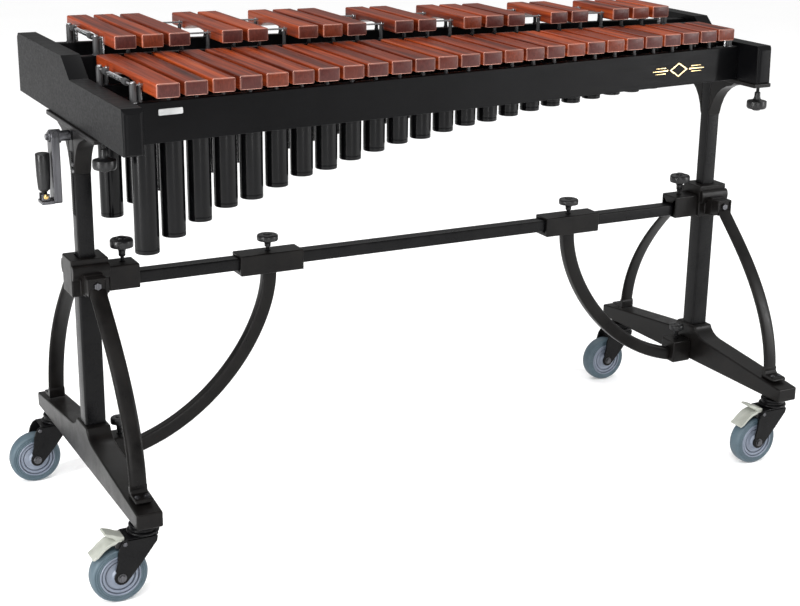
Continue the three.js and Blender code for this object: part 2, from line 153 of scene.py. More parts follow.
# ---------- materials ----------
class Tree:
    """A material's node tree with short ways to add and join nodes."""

    def __init__(self, name, **constants):
        self.material = bpy.data.materials.new(name)
        self.material.use_nodes = True
        self.tree = self.material.node_tree
        self.shader = self.tree.nodes["Principled BSDF"]
        for socket, value in constants.items():
            self.shader.inputs[socket.replace("_", " ")].default_value = value
        self.where = self.add("ShaderNodeTexCoord").outputs["Object"]

    def add(self, kind, **settings):
        node = self.tree.nodes.new(kind)
        for key, value in settings.items():
            setattr(node, key, value)
        return node

    def join(self, a, b):
        self.tree.links.new(a, b)

    def scaled(self, scale, shift=None):
        node = self.add("ShaderNodeMapping")
        node.inputs["Scale"].default_value = scale
        self.join(self.where, node.inputs["Vector"])
        if shift is not None:
            self.join(shift, node.inputs["Location"])
        return node.outputs["Vector"]

    def noise(self, scale, detail=3.0, rough=0.5, at=None, distortion=0.0):
        node = self.add("ShaderNodeTexNoise")
        node.inputs["Scale"].default_value = scale
        node.inputs["Detail"].default_value = detail
        node.inputs["Roughness"].default_value = rough
        node.inputs["Distortion"].default_value = distortion
        self.join(at if at is not None else self.where, node.inputs["Vector"])
        return node.outputs["Fac"]

    def ramp(self, value, *stops):
        node = self.add("ShaderNodeValToRGB")
        elements = node.color_ramp.elements
        while len(elements) < len(stops):
            elements.new(0.5)
        for element, (place, colour) in zip(elements, stops):
            element.position = place
            element.color = (*colour, 1) if hasattr(colour, "__len__") else (colour, colour, colour, 1)
        self.join(value, node.inputs["Fac"])
        return node.outputs["Color"]

    def span(self, value, low, high, start=0.0, end=1.0):
        node = self.add("ShaderNodeMapRange")
        node.inputs["From Min"].default_value = start
        node.inputs["From Max"].default_value = end
        node.inputs["To Min"].default_value = low
        node.inputs["To Max"].default_value = high
        self.join(value, node.inputs["Value"])
        return node.outputs["Result"]

    def maths(self, operation, a, b):
        node = self.add("ShaderNodeMath", operation=operation)
        for socket, value in zip(node.inputs, (a, b)):
            if isinstance(value, (int, float)):
                socket.default_value = value
            else:
                self.join(value, socket)
        return node.outputs["Value"]

    def mix(self, factor, a, b, blend="MIX"):
        node = self.add("ShaderNodeMix", data_type="RGBA", blend_type=blend)
        for name, value in (("Factor", factor), ("A", a), ("B", b)):
            socket = [s for s in node.inputs if s.name == name and s.enabled][0]
            if isinstance(value, (int, float)):
                socket.default_value = value
            elif isinstance(value, tuple):
                socket.default_value = (*value, 1)
            else:
                self.join(value, socket)
        return [s for s in node.outputs if s.name == "Result" and s.enabled][0]

    def colour(self, socket):
        self.join(socket, self.shader.inputs["Base Color"])

    def roughness(self, socket):
        self.join(socket, self.shader.inputs["Roughness"])

    def bump(self, height, strength, distance):
        node = self.add("ShaderNodeBump")
        node.inputs["Strength"].default_value = strength
        node.inputs["Distance"].default_value = distance
        self.join(height, node.inputs["Height"])
        self.join(node.outputs["Normal"], self.shader.inputs["Normal"])


def painted(name, dark, light, rough, grain=900.0, depth=0.00008, **constants):
    """A coated surface: soft mottling in colour and shine, and the fine tooth of the coat."""
    t = Tree(name, **constants)
    broad = t.noise(26.0, 4.0, 0.6)
    t.colour(t.ramp(broad, (0.3, dark), (0.72, light)))
    fine = t.noise(grain, 2.0)
    t.roughness(t.span(t.maths("MULTIPLY", broad, fine), rough - 0.06, rough + 0.16, 0.1, 0.45))
    t.bump(fine, 0.35, depth)
    return t.material


def rosewood():
    """Oiled rosewood: fine pores and slow streaks along each bar, its own tone, and end grain at the ends."""
    t = Tree("rosewood", Specular_IOR_Level=0.16)
    tone = t.add("ShaderNodeAttribute", attribute_name="tone").outputs["Fac"]
    shift = t.add("ShaderNodeCombineXYZ")
    t.join(t.maths("MULTIPLY", tone, 37.0), shift.inputs["X"])
    t.join(t.maths("MULTIPLY", tone, 11.0), shift.inputs["Z"])
    along = t.scaled((58.0, 1.7, 58.0), shift.outputs["Vector"])
    streaks = t.noise(1.0, 5.0, 0.62, along, 0.6)
    thin = t.noise(1.0, 3.0, 0.55, t.scaled((330.0, 7.0, 330.0), shift.outputs["Vector"]), 0.3)
    body = t.ramp(streaks, (0.30, (0.040, 0.0058, 0.0028)), (0.44, (0.150, 0.0215, 0.0062)),
                  (0.58, (0.290, 0.0450, 0.0100)), (0.78, (0.44, 0.090, 0.018)))
    pores = t.ramp(thin, (0.36, 0.42), (0.52, 1.0))
    grained = t.mix(0.62, body, pores, "MULTIPLY")
    toned = t.mix(1.0, grained, t.ramp(tone, (0.0, (0.62, 0.56, 0.58)), (0.5, (0.95, 0.92, 0.9)),
                                      (1.0, (1.22, 1.24, 1.12))), "MULTIPLY")
    # the sawn ends show darker, pinker end grain
    face = t.add("ShaderNodeSeparateXYZ")
    t.join(t.add("ShaderNodeNewGeometry").outputs["True Normal"], face.inputs["Vector"])
    slant = t.maths("ABSOLUTE", face.outputs["Y"], 0.0)
    sawn = t.span(slant, 0.0, 1.0, 0.72, 0.97)
    rings = t.noise(1.0, 4.0, 0.6, t.scaled((420.0, 60.0, 150.0), shift.outputs["Vector"]), 0.8)
    warm = t.add("ShaderNodeMath", operation="FRACT")
    t.join(t.maths("MULTIPLY", tone, 7.3), warm.inputs[0])
    warmth = t.ramp(warm.outputs["Value"], (0.55, 0.0), (0.95, 0.75))
    ends = t.mix(warmth, (0.058, 0.0160, 0.0135), (0.125, 0.0230, 0.0085))
    ends = t.mix(1.0, ends, t.ramp(rings, (0.3, 0.62), (0.7, 1.2)), "MULTIPLY")
    whole = t.mix(sawn, toned, ends)
    # a painted highlight: the eased end edges are painted paler, as if their bevels caught the light
    painted_edge_highlight = t.maths("MULTIPLY", t.span(slant, 0.0, 1.0, 0.25, 0.5), t.span(slant, 1.0, 0.0, 0.8, 0.95))
    t.colour(t.mix(t.maths("MULTIPLY", painted_edge_highlight, 0.62), whole, (0.62, 0.36, 0.29)))
    t.roughness(t.span(thin, 0.42, 0.27, 0.3, 0.7))
    t.bump(t.maths("ADD", thin, streaks), 0.28, 0.00012)
    return t.material


def lacquer():
    """Black lacquer over wood: the grain just telegraphs through."""
    t = Tree("black_lacquer", Specular_IOR_Level=0.07)
    grain = t.noise(1.0, 4.0, 0.6, t.scaled((4.0, 150.0, 260.0)), 0.4)
    cloud = t.noise(9.0, 3.0)
    t.colour(t.ramp(cloud, (0.3, (0.0012, 0.0012, 0.0015)), (0.75, (0.0028, 0.0028, 0.0032))))
    t.roughness(t.span(grain, 0.34, 0.46, 0.3, 0.7))
    t.bump(grain, 0.10, 0.00008)
    return t.material


def tube_black():
    """Glossy enamel over a drawn tube, with the faint draw lines along it."""
    t = Tree("resonator_black", Metallic=0.0, Specular_IOR_Level=0.13)
    lines = t.noise(1.0, 3.0, 0.55, t.scaled((420.0, 420.0, 3.0)))
    cloud = t.noise(14.0, 3.0)
    t.colour(t.ramp(cloud, (0.3, (0.0014, 0.0014, 0.0017)), (0.75, (0.0034, 0.0034, 0.0038))))
    t.roughness(t.span(lines, 0.13, 0.20, 0.3, 0.7))
    t.bump(lines, 0.12, 0.00006)
    return t.material


def metal(name, dark, light, rough, stretch=(60.0, 60.0, 60.0), **constants):
    t = Tree(name, Metallic=1.0, **constants)
    brushed = t.noise(1.0, 3.0, 0.6, t.scaled(stretch))
    t.colour(t.ramp(brushed, (0.3, dark), (0.7, light)))
    t.roughness(t.span(brushed, rough - 0.06, rough + 0.1, 0.3, 0.7))
    t.bump(brushed, 0.1, 0.00004)
    return t.material


def moulded(name, dark, light, rough, **constants):
    """Moulded plastic or rubber: slow flow marks and a fine tooth."""
    t = Tree(name, **constants)
    flow = t.noise(34.0, 4.0, 0.6, distortion=0.5)
    t.colour(t.ramp(flow, (0.3, dark), (0.7, light)))
    tooth = t.noise(1300.0, 2.0)
    t.roughness(t.span(flow, rough - 0.05, rough + 0.08, 0.3, 0.7))
    t.bump(tooth, 0.25, 0.00006)
    return t.material


def braid():
    t = Tree("cord_braid")
    wave = t.add("ShaderNodeTexWave", wave_type="BANDS", bands_direction="DIAGONAL")
    wave.inputs["Scale"].default_value = 190.0
    wave.inputs["Distortion"].default_value = 1.2
    t.join(t.where, wave.inputs["Vector"])
    t.colour(t.ramp(wave.outputs["Fac"], (0.25, (0.05, 0.05, 0.052)), (0.8, (0.20, 0.20, 0.205))))
    t.roughness(t.span(wave.outputs["Fac"], 0.75, 0.6))
    t.bump(wave.outputs["Fac"], 0.5, 0.0003)
    return t.material


MATERIAL = {
    "cast": painted("black_cast", (0.0022, 0.0020, 0.0020), (0.0056, 0.0049, 0.0045), 0.32, 750.0, 0.00006,
                    Specular_IOR_Level=0.12),
    "steel_black": painted("black_steel", (0.0018, 0.0018, 0.0021), (0.0042, 0.0041, 0.0044), 0.28, 1100.0,
                           0.00003, Specular_IOR_Level=0.11),
    "lacquer": lacquer(),
    "plastic": moulded("black_plastic", (0.0032, 0.0032, 0.0036), (0.0080, 0.0080, 0.0085), 0.36,
                       Specular_IOR_Level=0.28),
    "rosewood": rosewood(),
    "tyre": moulded("tyre_grey", (0.030, 0.052, 0.068), (0.050, 0.080, 0.100), 0.55),
    "hub": moulded("hub_grey", (0.105, 0.125, 0.165), (0.150, 0.172, 0.215), 0.42),
    "pedal": moulded("pedal_grey", (0.215, 0.222, 0.195), (0.32, 0.33, 0.295), 0.45),
    "tube": tube_black(),
    "steel": metal("bright_steel", (0.17, 0.172, 0.178), (0.40, 0.40, 0.41), 0.28, (300.0, 300.0, 300.0)),
    "arm": metal("crank_steel", (0.050, 0.050, 0.054), (0.110, 0.110, 0.118), 0.32, (500.0, 500.0, 10.0)),
    "brass": metal("brass", (0.46, 0.30, 0.10), (0.70, 0.50, 0.20), 0.28, (300.0, 300.0, 300.0)),
    "cord": braid(),
    "rubber": moulded("post_rubber", (0.010, 0.010, 0.011), (0.022, 0.022, 0.023), 0.55),
    "label": painted("label_white", (0.36, 0.37, 0.37), (0.50, 0.51, 0.51), 0.34, 500.0, 0.00003),
    "gold": metal("ornament_gold", (0.52, 0.38, 0.17), (0.78, 0.61, 0.33), 0.34, (200.0, 200.0, 200.0)),
}


# ---------- making meshes, in millimetres ----------
def publish(name, bm, body, material, replaced=(), bevel=0.0, segments=3, sharp=38.0, tone=None):
    """Turns a mesh in millimetres into a finished piece in the row frame."""
    bmesh.ops.recalc_face_normals(bm, faces=bm.faces)
    bm.transform(TO_ROW)
    limit = math.radians(sharp)
    for face in bm.faces:
        face.smooth = True
    for edge in bm.edges:
        edge.smooth = len(edge.link_faces) == 2 and edge.calc_face_angle(0) < limit
    mesh = bpy.data.meshes.new(name)
    bm.to_mesh(mesh)
    bm.free()
    mesh.materials.append(MATERIAL[material])
    if tone is not None:
        values = mesh.attributes.new("tone", "FLOAT", "POINT")
        values.data.foreach_set("value", [tone] * len(mesh.vertices))
    piece = bpy.data.objects.new(name, mesh)
    scene.collection.objects.link(piece)
    if bevel:
        round_off = piece.modifiers.new("edges", "BEVEL")
        round_off.width = bevel / 1000
        round_off.segments = segments
        round_off.limit_method = "ANGLE"
        round_off.angle_limit = math.radians(28)
        round_off.harden_normals = True
        round_off.use_clamp_overlap = True
    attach(piece, body)
    if replaced:
        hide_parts(*replaced)


def from_cad(node):
    """A CAD node's shape in millimetres, with its flat faces whole again."""
    bm = bmesh.new()
    bm.from_mesh(nodes[node].data)
    bmesh.ops.remove_doubles(bm, verts=bm.verts, dist=1e-6)
    bmesh.ops.dissolve_limit(bm, angle_limit=math.radians(1), verts=bm.verts, edges=bm.edges)
    bm.transform(TO_MM)
    return bm


def block(bm, x, y, z):
    corners = [bm.verts.new((a, b, c)) for a in x for b in y for c in z]
    for quad in ((0, 1, 3, 2), (4, 6, 7, 5), (0, 4, 5, 1), (2, 3, 7, 6), (0, 2, 6, 4), (1, 5, 7, 3)):
        bm.faces.new([corners[i] for i in quad])


def loft(bm, rings, closed=False):
    """Skin over rings that have the same number of points: capped at both ends, or closed into a loop."""
    made = [[bm.verts.new(p) for p in ring] for ring in rings]
    count = len(made[0])
    for a, b in zip(made, made[1:] + made[:1] if closed else made[1:]):
        for i in range(count):
            j = (i + 1) % count
            bm.faces.new((a[i], a[j], b[j], b[i]))
    if not closed:
        bm.faces.new(made[0])
        bm.faces.new(made[-1])


AXES = {
    "x": lambda r, a, h: (h, r * math.cos(a), r * math.sin(a)),
    "y": lambda r, a, h: (r * math.sin(a), h, r * math.cos(a)),
    "z": lambda r, a, h: (r * math.cos(a), r * math.sin(a), h),
}


def turn(bm, profile, at, axis="z", sides=40, closed=False):
    """A turned solid: profile is (radius, place along the axis)."""
    place = AXES[axis]
    centre = Vector(at)
    rings = []
    for r, h in profile:
        rings.append([centre + Vector(place(max(r, 0.02), 2 * math.pi * i / sides, h)) for i in range(sides)])
    loft(bm, rings, closed)


def hexagon(bm, r, low, high, at, axis="z"):
    turn(bm, [(r - 0.5, low), (r, low + 0.5), (r, high - 0.5), (r - 0.6, high)], at, axis, 6)


def rounded(half_a, half_b, r, steps=4):
    """A rectangle with round corners, anticlockwise."""
    points = []
    for ca, cb, start in ((1, 1, 0), (-1, 1, 90), (-1, -1, 180), (1, -1, 270)):
        for i in range(steps + 1):
            angle = math.radians(start + 90 * i / steps)
            points.append((ca * (half_a - r) + r * math.cos(angle), cb * (half_b - r) + r * math.sin(angle)))
    return points


def bezier(points, steps):
    """Points and unit tangents of a cubic Bezier in a plane."""
    found = []
    for k in range(steps + 1):
        t = k / steps
        u = 1 - t
        weights = (u * u * u, 3 * u * u * t, 3 * u * t * t, t * t * t)
        place = [sum(w * p[i] for w, p in zip(weights, points)) for i in (0, 1)]
        slopes = (3 * u * u, 6 * u * t, 3 * t * t)
        go = [sum(s * (b[i] - a[i]) for s, a, b in zip(slopes, points, points[1:])) for i in (0, 1)]
        length = math.hypot(*go)
        found.append((place, (go[0] / length, go[1] / length)))
    return found


def tube_path(bm, points, r, sides=8):
    """A round wire along points."""
    rings = []
    for i, p in enumerate(points):
        along = (Vector(points[min(i + 1, len(points) - 1)]) - Vector(points[max(i - 1, 0)])).normalized()
        side = along.cross(Vector((0, 0, 1)) if abs(along.z) < 0.9 else Vector((1, 0, 0))).normalized()
        up = side.cross(along)
        rings.append([Vector(p) + side * r * math.cos(a) + up * r * math.sin(a)
                      for a in (2 * math.pi * k / sides for k in range(sides))])
    loft(bm, rings)


# ---------- stand ----------
def stand_piece(name, bevel):
    publish(name + "_cast", from_cad(name), "stand", "cast", [name], bevel)


def post_tube(name, body, r):
    """Square steel tube with the round corners it is rolled with."""
    a, b = box_mm(name)
    half_x, half_y = (b.x - a.x) / 2, (b.y - a.y) / 2
    cx, cy = (a.x + b.x) / 2, (a.y + b.y) / 2
    wall = 2.5
    outer = rounded(half_x, half_y, r, 5)
    inner = rounded(half_x - wall, half_y - wall, r - 1.2, 5)
    bm = bmesh.new()
    rings = [[(cx + u, cy + v, z) for u, v in outline]
             for outline, z in ((outer, a.z), (outer, b.z), (inner, b.z), (inner, a.z))]
    loft(bm, rings, closed=True)
    publish(name + "_tube", bm, body, "steel_black", [name], 0.5, 2)


def crossbar_tube():
    a, b = box_mm("crossbar")
    outline = rounded((b.y - a.y) / 2, (b.z - a.z) / 2, 3, 5)
    inner = rounded((b.y - a.y) / 2 - 2, (b.z - a.z) / 2 - 2, 1.6, 5)
    middle = (a.z + b.z) / 2
    cy = (a.y + b.y) / 2
    bm = bmesh.new()
    loft(bm, [[(x, cy + u, middle + v) for u, v in line]
              for line, x in ((outline, a.x), (outline, b.x), (inner, b.x), (inner, a.x))], closed=True)
    publish("crossbar_tube", bm, "stand", "steel_black", ["crossbar"], 0.5, 2)


ARCH_CURVE = [(53.9, 488), (75.5, 452), (238, 345), (249, 186)]
BRACE_CURVE = [(323, 448.6), (323, 350), (425, 190), (594, 150)]


def arch(name, side, place, way):
    """A flat cast arch with soft edges, from the collar's lug to a bolted tab on the foot."""
    bm = bmesh.new()
    half, thick, crown = 15.0, 7.0, 0.72
    angles = [2 * math.pi * k / 28 for k in range(28)]
    section = [(math.copysign(abs(math.cos(a)) ** crown * half, math.cos(a)),
                math.copysign(abs(math.sin(a)) ** crown * thick / 2, math.sin(a))) for a in angles]
    x0 = side * POST_X
    rings = []
    for (y, z), (ty, tz) in bezier(ARCH_CURVE, 44):
        rings.append([(x0 + u, way * (y - tz * v), z + ty * v) for u, v in section])
    loft(bm, rings)
    cad_name = f"{name}_{place}_arch"
    publish(cad_name + "_cast", bm, "stand", "cast", [cad_name])
    tab = bmesh.new()
    base = box_mm(cad_name)[0].z
    outline = [(243.0, base), (282.0, base), (282.0, base + 3), (279.0, base + 6), (256.0, base + 7.5),
               (252.4, base + 12), (252.4, base + 20), (245.5, base + 20), (243.0, base + 16)]
    loft(tab, [[(x0 + u, way * y, z) for y, z in outline] for u in (-half, half)])
    publish(cad_name + "_tab", tab, "stand", "cast", (), 1.2, 2)


def curved_brace(name, side):
    """A flat cast brace that sweeps from the crossbar's sleeve down to the foot bracket's flat face."""
    bm = bmesh.new()
    section = rounded(10.0, 13.0, 4.0, 4)
    rings = []
    for (x, z), (tx, tz) in bezier(BRACE_CURVE, 48):
        rings.append([(side * (x - tz * v), u, z + tx * v) for u, v in section])
    flat = 594.0
    rings = [[(side * min(abs(px), flat), py, pz) for px, py, pz in ring] for ring in rings]
    loft(bm, rings)
    publish(name + "_curved_brace_cast", bm, "stand", "cast", [name + "_curved_brace"])


def stand_bolts(name, side):
    """The bolts on the arch tabs and in the collar's brackets."""
    bm = bmesh.new()
    x0 = side * POST_X
    for place, way in ENDS:
        base = box_mm(f"{name}_{place}_arch")[0].z
        for dx in (-8, 8):
            at = (x0 + dx, way * 267.5, base + 6.4)
            turn(bm, [(5.4, 0), (5.4, 0.9), (5.0, 1.1)], at, "z", 20)
            turn(bm, [(3.6, 1), (3.6, 2.6), (2.6, 3.2)], at, "z", 20)
        hexagon(bm, 6.6, *sorted((way * 67.8, way * 72.4)), (x0, 0, 481), "y")
    publish(name + "_stand_bolts", bm, "stand", "arm")


def collar_fittings(name, side):
    """The rolled lips across the collar, and the square brackets that the arches hang from."""
    x0 = side * POST_X
    for place, way in ENDS:
        lip = bmesh.new()
        outline = [(27.0, 484.0), (31.0, 483.0)]
        for k in range(13):
            angle = math.radians(-90 + 15 * k)
            outline.append((31.0 + 9.0 * math.cos(angle) * 0.8, 496.0 + 13.0 * math.sin(angle)))
        outline += [(27.0, 509.0)]
        loft(lip, [[(x0 + u, way * y, z) for y, z in outline] for u in (-32.6, 32.6)])
        publish(f"{name}_{place}_collar_lip", lip, "stand", "cast", (), 1.0, 2)
        bracket = bmesh.new()
        rim, inner = rounded(17.0, 15.5, 2.6, 3), rounded(13.8, 12.3, 2.0, 3)
        loft(bracket, [[(x0 + u, way * depth, 479.0 + v) for u, v in rim] for depth in (49.0, 68.0)])
        raised_rim = ((rim, 67.8), (rim, 70.4), (inner, 70.4), (inner, 67.8))
        loft(bracket, [[(x0 + u, way * depth, 479.0 + v) for u, v in line] for line, depth in raised_rim],
             closed=True)
        publish(f"{name}_{place}_arch_bracket", bracket, "stand", "cast", (), 0.5, 2)


def knob(name):
    """A clamping knob: a thin steel stem, a black neck that flares, and a wide soft-edged disc with a cap."""
    a, b = box_mm(name)
    r, height = (b.x - a.x) / 2, b.z - a.z
    base, way = (b.z, -1) if "block_knob" in name else (a.z, 1)
    at = ((a.x + b.x) / 2, (a.y + b.y) / 2, base)
    neck = max(4.6, r * 0.29)
    profile = [(neck * 0.72, 0.20), (neck, 0.235), (neck * 1.04, 0.40), (neck * 1.25, 0.50),
               (r * 0.52, 0.555), (r * 0.84, 0.575), (r * 0.965, 0.595), (r, 0.64), (r, 0.82),
               (r * 0.975, 0.875), (r * 0.90, 0.915), (r * 0.60, 0.930), (r * 0.43, 0.935),
               (r * 0.40, 0.985), (r * 0.34, 1.0), (0.02, 1.0)]
    head = bmesh.new()
    turn(head, [(q, way * h * height) for q, h in profile], at, "z", 48)
    publish(name + "_head", head, name, "plastic", [name], sharp=50)
    stem = bmesh.new()
    turn(stem, [(3.2, 0), (3.2, way * 0.24 * height)], at, "z", 20)
    turn(stem, [(5.6, 0), (5.6, way * 1.0), (5.1, way * 1.4)], at, "z", 24)
    publish(name + "_head_stem", stem, name, "steel_black")


crossbar_tube()
for name, side in SIDES.items():
    stand_piece(f"{name}_foot", 3.2)
    post_tube(f"{name}_outer_post", "stand", 4.0)
    stand_piece(f"{name}_collar", 4.0)
    stand_piece(f"{name}_crossbar_socket", 3.0)
    stand_piece(f"{name}_brace_sleeve", 3.2)
    stand_piece(f"{name}_foot_bracket", 3.0)
    for place, way in ENDS:
        arch(name, side, place, way)
    curved_brace(name, side)
    stand_bolts(name, side)
    collar_fittings(name, side)
    for place in ("socket", "sleeve", "foot", "block"):
        knob(f"{name}_{place}_knob")


# ---------- casters ----------
def tyre(label, at):
    """Grey rubber with a crowned tread and fine rings moulded into both sides."""
    half = 14.0
    side = [(35.4, half), (38.2, half + 0.2), (38.8, half - 0.7), (39.6, half + 0.1),
            (41.6, half + 0.1), (42.2, half - 0.8), (43.0, half - 0.2), (45.0, half - 0.8),
            (46.8, half - 2.6), (48.0, half - 5.6)]
    tread = [(WHEEL_R, 3.0), (WHEEL_R, -3.0)]
    profile = side + tread + [(r, -h) for r, h in reversed(side)]
    bm = bmesh.new()
    turn(bm, profile, at, "y", 72, closed=True)
    publish(f"{label}_tyre_rubber", bm, f"{label}_wheel", "tyre", [f"{label}_tyre"], sharp=28)


def hub(label, at):
    """Moulded hub: a raised rim, a dished web with a step, and a boss with its bearing."""
    half = 15.0
    side = [(5.8, 16.8), (12.2, 16.8), (13.0, 16.2), (15.0, 12.8), (23.4, 12.2), (24.0, 11.6),
            (24.3, 8.6), (25.7, 8.6), (26.0, 12.4), (26.6, 13.0), (30.2, 13.0), (30.7, 12.4),
            (31.0, 9.6), (32.0, 9.6), (32.3, 14.2), (33.0, half), (34.4, half), (35.0, half - 0.7)]
    profile = side + [(r, -h) for r, h in reversed(side)]
    bm = bmesh.new()
    turn(bm, profile, at, "y", 60, closed=True)
    publish(f"{label}_hub_moulding", bm, f"{label}_wheel", "hub", [f"{label}_hub"], sharp=28)


def fork(label, x, y):
    """Pressed fork: a bearing race and crown plate under the foot, two tapering legs and an axle bolt."""
    bm = bmesh.new()
    turn(bm, [(8.9, 119), (8.9, 135.4)], (x, y, 0), "z", 32)
    race = [(24.0, 116), (26.2, 116.6), (27.4, 118.6), (26.6, 120.6), (22.0, 121.6), (21.6, 125.6),
            (23.4, 126.4), (24.0, 129.6), (22.6, 131.6), (9.2, 132.4)]
    turn(bm, race, (x, y, 0), "z", 48)
    crown = [(-34, -22.4), (15, -22.4), (22, -14), (24, 0), (22, 14), (15, 22.4), (-34, 22.4)]
    loft(bm, [[(x + px, y + py, z) for px, py in crown] for z in (111.6, 115.8)])
    outline = [(-34, 115.4), (15, 115.4), (18.5, 112.5), (17.0, 104), (-8, 72), (-20, 58)]
    for i in range(9):
        angle = math.radians(-36 - 24 * i)
        outline.append((-TRAIL + 12.6 * math.cos(angle), WHEEL_R + 12.6 * math.sin(angle)))
    outline += [(-55.0, 62), (-50.5, 76), (-49.5, 92), (-46, 104), (-40, 112.5)]
    for way in (-1, 1):
        loft(bm, [[(x + px, y + way * depth, pz) for px, pz in outline] for depth in (18.0, 22.4)])
    publish(f"{label}_fork_pressing", bm, f"{label}_caster", "steel_black",
            [f"{label}_fork"], 1.3, 3, 30)
    bolt = bmesh.new()
    for way in (-1, 1):
        at = (x - TRAIL, y, WHEEL_R)
        turn(bolt, [(7.6, way * 22.4), (7.6, way * 23.4), (7.2, way * 23.8)], at, "y", 28)
        hexagon(bolt, 5.8, *sorted((way * 23.6, way * 26.4)), at, "y")
        rivet = (x - 37.5, y, 107.5)
        turn(bolt, [(3.6, way * 22.2), (3.6, way * 23.2), (2.6, way * 24.0)], rivet, "y", 20)
    publish(f"{label}_axle_bolt", bolt, f"{label}_caster", "arm", sharp=30)


def pedal(name, x, y):
    """A light plastic foot lever in two lobes, a lift-up paddle and a press lip that curls over the tread."""
    paddle = [(-36, 108.5), (-36, 117.5), (-44, 119.5), (-54, 124.5), (-66, 128.5), (-70, 126.8),
              (-66, 123.5), (-55, 118.0), (-50, 113.0), (-46, 108.5)]
    lip = [(-40, 108.2), (-40, 112.8), (-52, 113.2), (-63, 109.5), (-74, 102.0), (-83.5, 92.6), (-88.6, 89.6),
           (-91.0, 86.6), (-88.0, 85.2), (-81.0, 88.6), (-70.5, 98.6), (-60.0, 105.4), (-50.0, 108.0)]
    for label, outline, half in (("paddle", paddle, 14.0), ("lip", lip, 16.5)):
        bm = bmesh.new()
        loft(bm, [[(x + px, y + u, pz) for px, pz in outline] for u in (-half, half)])
        replaced = [f"{name}_brake_pedal"] if label == "lip" else ()
        publish(f"{name}_pedal_{label}", bm, f"{name}_pedal", "pedal", replaced, 1.3, 3)
    ribs = bmesh.new()
    for i in range(3):
        rib = x - 62.6 - 2.4 * i
        block(ribs, (rib - 0.6, rib + 0.6), (y - 11.0, y + 11.0), (126.0 + 0.9 * i, 127.6 + 1.0 * i))
    publish(f"{name}_pedal_ribs", ribs, f"{name}_pedal", "pedal", (), 0.3, 2)
    housing = bmesh.new()
    outline = [(-30, 99.5), (-30, 111.4), (-47, 111.4), (-51.5, 108.0), (-52.0, 100.8), (-46, 98.8)]
    loft(housing, [[(x + px, y + u, pz) for px, pz in outline] for u in (-17.4, 17.4)])
    publish(f"{name}_brake_housing", housing, f"{name}_front_caster", "plastic", (), 0.8, 2)


for name, side in SIDES.items():
    for place in ("front", "rear"):
        label = f"{name}_{place}"
        a, b = box_mm(f"{label}_hub")
        wheel_at = ((a.x + b.x) / 2, (a.y + b.y) / 2, WHEEL_R)
        tyre(label, wheel_at)
        hub(label, wheel_at)
        fork(label, wheel_at[0] + TRAIL, wheel_at[1])
        if place == "front":
            pedal(name, wheel_at[0] + TRAIL, wheel_at[1])


# ---------- keyboard frame ----------
def end_block(name):
    """The CAD block with its front upright corners rounded broadly, as the moulding shows."""
    bm = from_cad(f"{name}_end_block")
    front = box_mm(f"{name}_end_block")[0].y
    upright = [e for e in bm.edges if all(v.co.y < front + 0.5 for v in e.verts)
               and abs(e.verts[0].co.z - e.verts[1].co.z) > 20]
    bmesh.ops.bevel(bm, geom=upright, offset=8.0, segments=6, profile=0.5, affect="EDGES")
    publish(f"{name}_end_block_wood", bm, "keyboard", "lacquer",
            [f"{name}_end_block"], 1.8)


def straight_rail(node, row, share):
    """A lacquered board along one nodal line, without the CAD's posts, which are made below in steel."""
    line = nodal_line(row, share)
    a, b = box_mm(node)
    tall = RAIL_TOP[node]
    half = OUTER_RAIL_HALF if node in ("front_rail", "rear_rail") else 7.0
    bm = bmesh.new()
    rings = []
    for x in (a.x, b.x):
        y = line(x)
        rings.append([(x, y - half, a.z), (x, y + half, a.z), (x, y + half, tall), (x, y - half, tall)])
    loft(bm, rings)
    publish(node + "_board", bm, "keyboard", "lacquer", [node], 1.6)


def top_plate(name, side):
    """The forked plate under an end block, and its screws."""
    publish(f"{name}_top_plate_cast", from_cad(f"{name}_top_plate"), "keyboard", "cast",
            [f"{name}_top_plate"], 1.6, 2)
    bm = bmesh.new()
    x0 = side * POST_X
    for y in (-118.0, 112.0):
        turn(bm, [(5.0, 741.6), (5.0, 740.2), (3.0, 739.4)], (x0 + 9, y, 0), "z", 20)
    if side < 0:
        for z in (668.5, 679.5):
            turn(bm, [(3.4, 0), (3.4, -1.4), (2.2, -2.2)], (x0 - INNER_POST_HALF, -8.0, z), "x", 18)
    publish(f"{name}_plate_screws", bm, "keyboard", "steel")


def height_rack():
    """The rack that the crank climbs, let into the left inner post's outer face."""
    x = -POST_X - INNER_POST_HALF
    bm = bmesh.new()
    block(bm, (x - 1.2, x + 1.5), (-5.5, 5.5), (590, 700))
    tooth = 4.0
    for i in range(27):
        z = 592 + i * tooth
        block(bm, (x - 2.2, x - 1.0), (-4.6, 4.6), (z, z + 1.9))
    publish("height_rack", bm, "keyboard", "steel_black", (), 0.25, 1)


for name, side in SIDES.items():
    end_block(name)
    post_tube(f"{name}_inner_post", "keyboard", 3.2)
    top_plate(name, side)
height_rack()
straight_rail("front_rail", naturals, NODE_RATIO)
straight_rail("inner_natural_rail", naturals, 1 - NODE_RATIO)
straight_rail("inner_raised_rail", sharps, NODE_RATIO)
straight_rail("rear_rail", sharps, 1 - NODE_RATIO)


